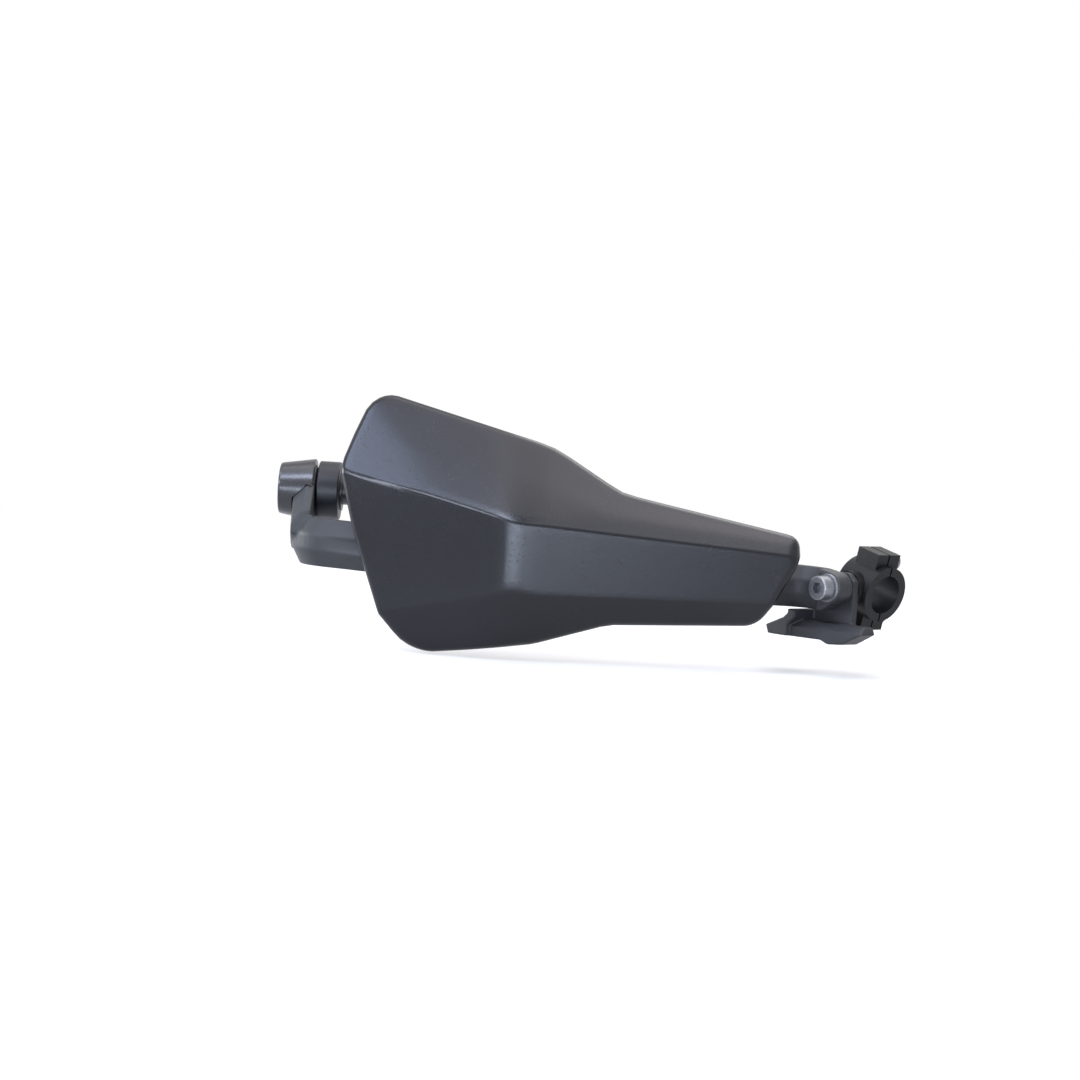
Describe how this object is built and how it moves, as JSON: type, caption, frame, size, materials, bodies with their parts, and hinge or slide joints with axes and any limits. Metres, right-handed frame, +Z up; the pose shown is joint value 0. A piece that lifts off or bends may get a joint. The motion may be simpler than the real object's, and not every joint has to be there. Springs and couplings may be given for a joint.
{
  "type": "motorcycle hand guard",
  "caption": "Motorcycle hand guard with a faceted moulded shell on a cast arm, a tapered bar end cap with an expander, and a clamp bracket at the inner end.",
  "frame": {"origin": "centre of the handlebar's outer end face, on the handlebar's axis, where the sleeve's collar seats", "axes": "+X inboard along the handlebar's axis, +Y rearward towards the rider, +Z up"},
  "size_m": [0.3638, 0.1196, 0.1414],
  "materials": {
    "shell_plastic": "fine grained, moulded, dark blue-grey",
    "arm_coat": "cast, matt dark grey powder coat",
    "turned_coat": "turned, satin black anodised",
    "bracket_coat": "cast, satin black coat",
    "raw_aluminium": "turned",
    "black_steel": "blackened",
    "plated_steel": "zinc plated",
    "insert_brass": "turned",
    "grommet_rubber": "matt"
  },
  "bodies": {
    "root": {"shell": "shell_plastic", "arm": "arm_coat", "bar_end_cap": "turned_coat", "bar_end_washer": "plated_steel", "bar_end_screw": "black_steel", "bar_end_spacer": "turned_coat", "expander_sleeve": "raw_aluminium", "expander_cone": "plated_steel", "arm_screw": "black_steel", "arm_washer": "black_steel", "mount_bracket": "bracket_coat", "clamp_front": "bracket_coat", "clamp_rear": "bracket_coat", "clamp_screw_upper": "black_steel", "clamp_screw_lower": "black_steel", "shell_insert_1": "insert_brass", "shell_grommet_1": "grommet_rubber", "shell_washer_1": "plated_steel", "shell_screw_1": "plated_steel", "shell_insert_2": "insert_brass", "shell_grommet_2": "grommet_rubber", "shell_washer_2": "plated_steel", "shell_screw_2": "plated_steel", "shell_insert_3": "insert_brass", "shell_grommet_3": "grommet_rubber", "shell_washer_3": "plated_steel", "shell_screw_3": "plated_steel"}
  },
  "joints": []
}
